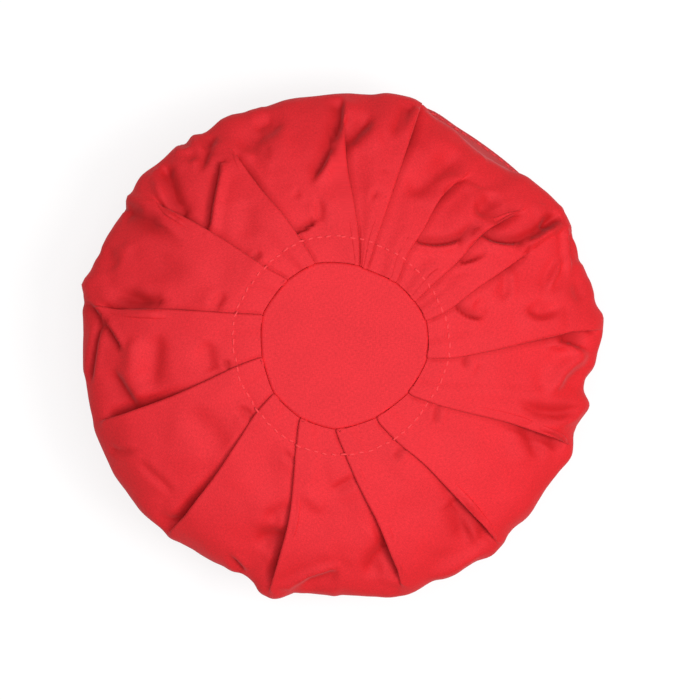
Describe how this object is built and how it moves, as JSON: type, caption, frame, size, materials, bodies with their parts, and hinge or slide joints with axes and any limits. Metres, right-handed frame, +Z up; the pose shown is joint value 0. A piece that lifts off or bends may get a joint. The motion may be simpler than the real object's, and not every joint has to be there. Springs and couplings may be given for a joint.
{
  "type": "kufi",
  "caption": "Soft round cotton kufi: a flat disc, knife pleats stitched flat round it that open over a full, wrinkled crown, and an upright headband.",
  "frame": {"origin": "on the table under the middle of the crown, at the height of the hem", "axes": "+Z up out of the disc, +Y towards the top of the picture, +X towards its right"},
  "size_m": [0.2094, 0.2022, 0.0839],
  "materials": {
    "disc_cotton": "red plain-woven cotton, flat",
    "crown_cotton": "red plain-woven cotton, pleated and softly wrinkled",
    "band_cotton": "red plain-woven cotton, doubled and hemmed"
  },
  "bodies": {
    "root": {"top_disc": "disc_cotton", "pleated_crown": "crown_cotton", "headband": "band_cotton"}
  },
  "joints": []
}
